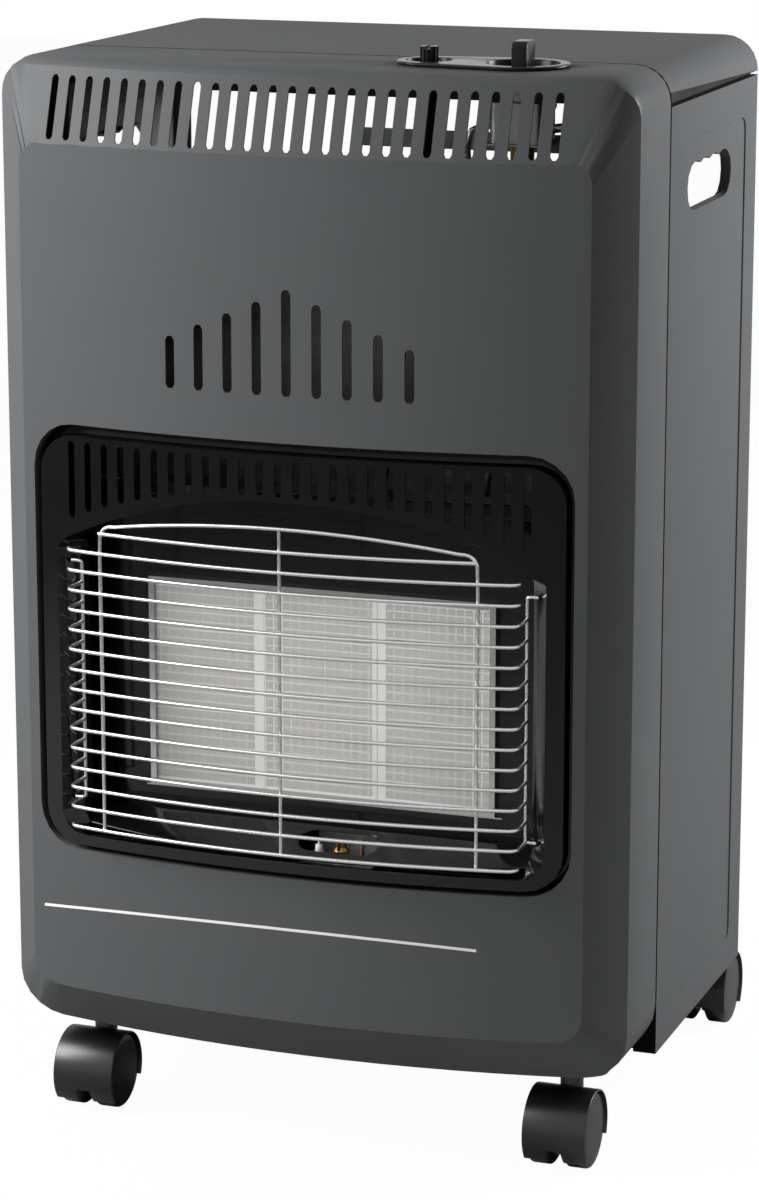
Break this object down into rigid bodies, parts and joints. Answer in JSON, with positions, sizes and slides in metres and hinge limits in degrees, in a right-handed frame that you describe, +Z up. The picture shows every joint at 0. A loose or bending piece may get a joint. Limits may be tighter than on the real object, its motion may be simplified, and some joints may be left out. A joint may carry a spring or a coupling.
{
  "type": "portable gas cabinet heater",
  "caption": "Free-standing cabinet heater with a bowed steel front, guarded radiant ceramic burner, top gas valve and igniter button, open rear bottle bay and hooded swivel casters.",
  "frame": {"origin": "on the floor under the middle of the part's overall box", "axes": "+Z up, the bowed front with the burner window faces -Y, +X is on the right of someone facing the front"},
  "size_m": [0.42, 0.4102, 0.7195],
  "materials": {
    "cabinet_paint": "satin anthracite powder coat",
    "black_enamel": "glossy black enamel",
    "bright_plating": "bright plated wire",
    "polished_steel": "polished stainless sheet",
    "ceramic": "unglazed perforated ceramic",
    "zinc_steel": "zinc-coated sheet",
    "brass": "turned brass",
    "aluminium": "cast and drawn aluminium",
    "control_plastic": "black moulded plastic with a slight gloss",
    "porcelain": "glazed white porcelain",
    "copper": "drawn copper tube",
    "lead_insulation": "black silicone insulation",
    "caster_plastic": "black moulded nylon"
  },
  "bodies": {
    "cabinet": {"front_panel": "cabinet_paint", "top_cover": "cabinet_paint", "side_panel_left": "cabinet_paint", "side_panel_right": "cabinet_paint", "floor_pan": "cabinet_paint", "window_surround": "black_enamel", "firebox": "black_enamel", "wire_guard": "bright_plating", "burner_frame": "polished_steel", "lower_reflector": "polished_steel", "ceramic_plaque_1": "ceramic", "ceramic_plaque_2": "ceramic", "ceramic_plaque_3": "ceramic", "heat_shield": "zinc_steel", "burner_plenum": "zinc_steel", "pilot_bracket": "zinc_steel", "valve_rail": "zinc_steel", "flange_screw_1": "zinc_steel", "flange_screw_2": "zinc_steel", "flange_screw_3": "zinc_steel", "flange_screw_4": "zinc_steel", "injector": "brass", "pilot_burner": "brass", "safety_magnet": "brass", "hose_inlet": "brass", "mixing_tube": "aluminium", "pilot_gas_tube": "aluminium", "burner_gas_tube": "aluminium", "gas_valve_body": "aluminium", "control_bezel": "control_plastic", "piezo_igniter": "control_plastic", "spark_electrode": "porcelain", "thermocouple": "copper", "ignition_lead": "lead_insulation", "caster_socket_front_left": "zinc_steel", "caster_socket_front_right": "zinc_steel", "caster_socket_rear_left": "zinc_steel", "caster_socket_rear_right": "zinc_steel"},
    "valve_plunger": {"valve_push_rod": "brass"},
    "knob": {"control_knob": "control_plastic", "valve_spindle": "brass"},
    "igniter_button": {"piezo_button": "control_plastic"},
    "caster_front_left": {"caster_hood_front_left": "caster_plastic", "caster_axle_front_left": "zinc_steel"},
    "wheel_front_left_outer_body": {"wheel_front_left_outer": "caster_plastic"},
    "wheel_front_left_inner_body": {"wheel_front_left_inner": "caster_plastic"},
    "caster_front_right": {"caster_hood_front_right": "caster_plastic", "caster_axle_front_right": "zinc_steel"},
    "wheel_front_right_outer_body": {"wheel_front_right_outer": "caster_plastic"},
    "wheel_front_right_inner_body": {"wheel_front_right_inner": "caster_plastic"},
    "caster_rear_left": {"caster_hood_rear_left": "caster_plastic", "caster_axle_rear_left": "zinc_steel"},
    "wheel_rear_left_outer_body": {"wheel_rear_left_outer": "caster_plastic"},
    "wheel_rear_left_inner_body": {"wheel_rear_left_inner": "caster_plastic"},
    "caster_rear_right": {"caster_hood_rear_right": "caster_plastic", "caster_axle_rear_right": "zinc_steel"},
    "wheel_rear_right_outer_body": {"wheel_rear_right_outer": "caster_plastic"},
    "wheel_rear_right_inner_body": {"wheel_rear_right_inner": "caster_plastic"}
  },
  "joints": [
    {"name": "knob_press", "type": "slide", "parent": "cabinet", "child": "valve_plunger", "axis": [0, 0, -1], "range_m": [0, 0.004], "stiffness_N_per_m": 800, "springref_m": -0.003},
    {"name": "knob_turn", "type": "hinge", "parent": "valve_plunger", "child": "knob", "pos_m": [0.1265, -0.11106, 0.7], "axis": [0, 0, -1], "range_deg": [-180, 0]},
    {"name": "button_press", "type": "slide", "parent": "cabinet", "child": "igniter_button", "axis": [0, 0, -1], "range_m": [0, 0.005], "stiffness_N_per_m": 900, "springref_m": -0.003},
    {"name": "swivel_front_left", "type": "hinge", "parent": "cabinet", "child": "caster_front_left", "pos_m": [-0.164, -0.10606, 0.06], "axis": [0, 0, 1], "continuous": true},
    {"name": "roll_front_left_outer", "type": "hinge", "parent": "caster_front_left", "child": "wheel_front_left_outer_body", "pos_m": [-0.1758, -0.12106, 0.025], "axis": [1, 0, 0], "continuous": true},
    {"name": "roll_front_left_inner", "type": "hinge", "parent": "caster_front_left", "child": "wheel_front_left_inner_body", "pos_m": [-0.1522, -0.12106, 0.025], "axis": [1, 0, 0], "continuous": true},
    {"name": "swivel_front_right", "type": "hinge", "parent": "cabinet", "child": "caster_front_right", "pos_m": [0.164, -0.10606, 0.06], "axis": [0, 0, 1], "continuous": true},
    {"name": "roll_front_right_outer", "type": "hinge", "parent": "caster_front_right", "child": "wheel_front_right_outer_body", "pos_m": [0.1758, -0.12106, 0.025], "axis": [1, 0, 0], "continuous": true},
    {"name": "roll_front_right_inner", "type": "hinge", "parent": "caster_front_right", "child": "wheel_front_right_inner_body", "pos_m": [0.1522, -0.12106, 0.025], "axis": [1, 0, 0], "continuous": true},
    {"name": "swivel_rear_left", "type": "hinge", "parent": "cabinet", "child": "caster_rear_left", "pos_m": [-0.177, 0.16344, 0.06], "axis": [0, 0, 1], "continuous": true},
    {"name": "roll_rear_left_outer", "type": "hinge", "parent": "caster_rear_left", "child": "wheel_rear_left_outer_body", "pos_m": [-0.1888, 0.17844, 0.025], "axis": [1, 0, 0], "continuous": true},
    {"name": "roll_rear_left_inner", "type": "hinge", "parent": "caster_rear_left", "child": "wheel_rear_left_inner_body", "pos_m": [-0.1652, 0.17844, 0.025], "axis": [1, 0, 0], "continuous": true},
    {"name": "swivel_rear_right", "type": "hinge", "parent": "cabinet", "child": "caster_rear_right", "pos_m": [0.177, 0.16344, 0.06], "axis": [0, 0, 1], "continuous": true},
    {"name": "roll_rear_right_outer", "type": "hinge", "parent": "caster_rear_right", "child": "wheel_rear_right_outer_body", "pos_m": [0.1888, 0.17844, 0.025], "axis": [1, 0, 0], "continuous": true},
    {"name": "roll_rear_right_inner", "type": "hinge", "parent": "caster_rear_right", "child": "wheel_rear_right_inner_body", "pos_m": [0.1652, 0.17844, 0.025], "axis": [1, 0, 0], "continuous": true}
  ]
}
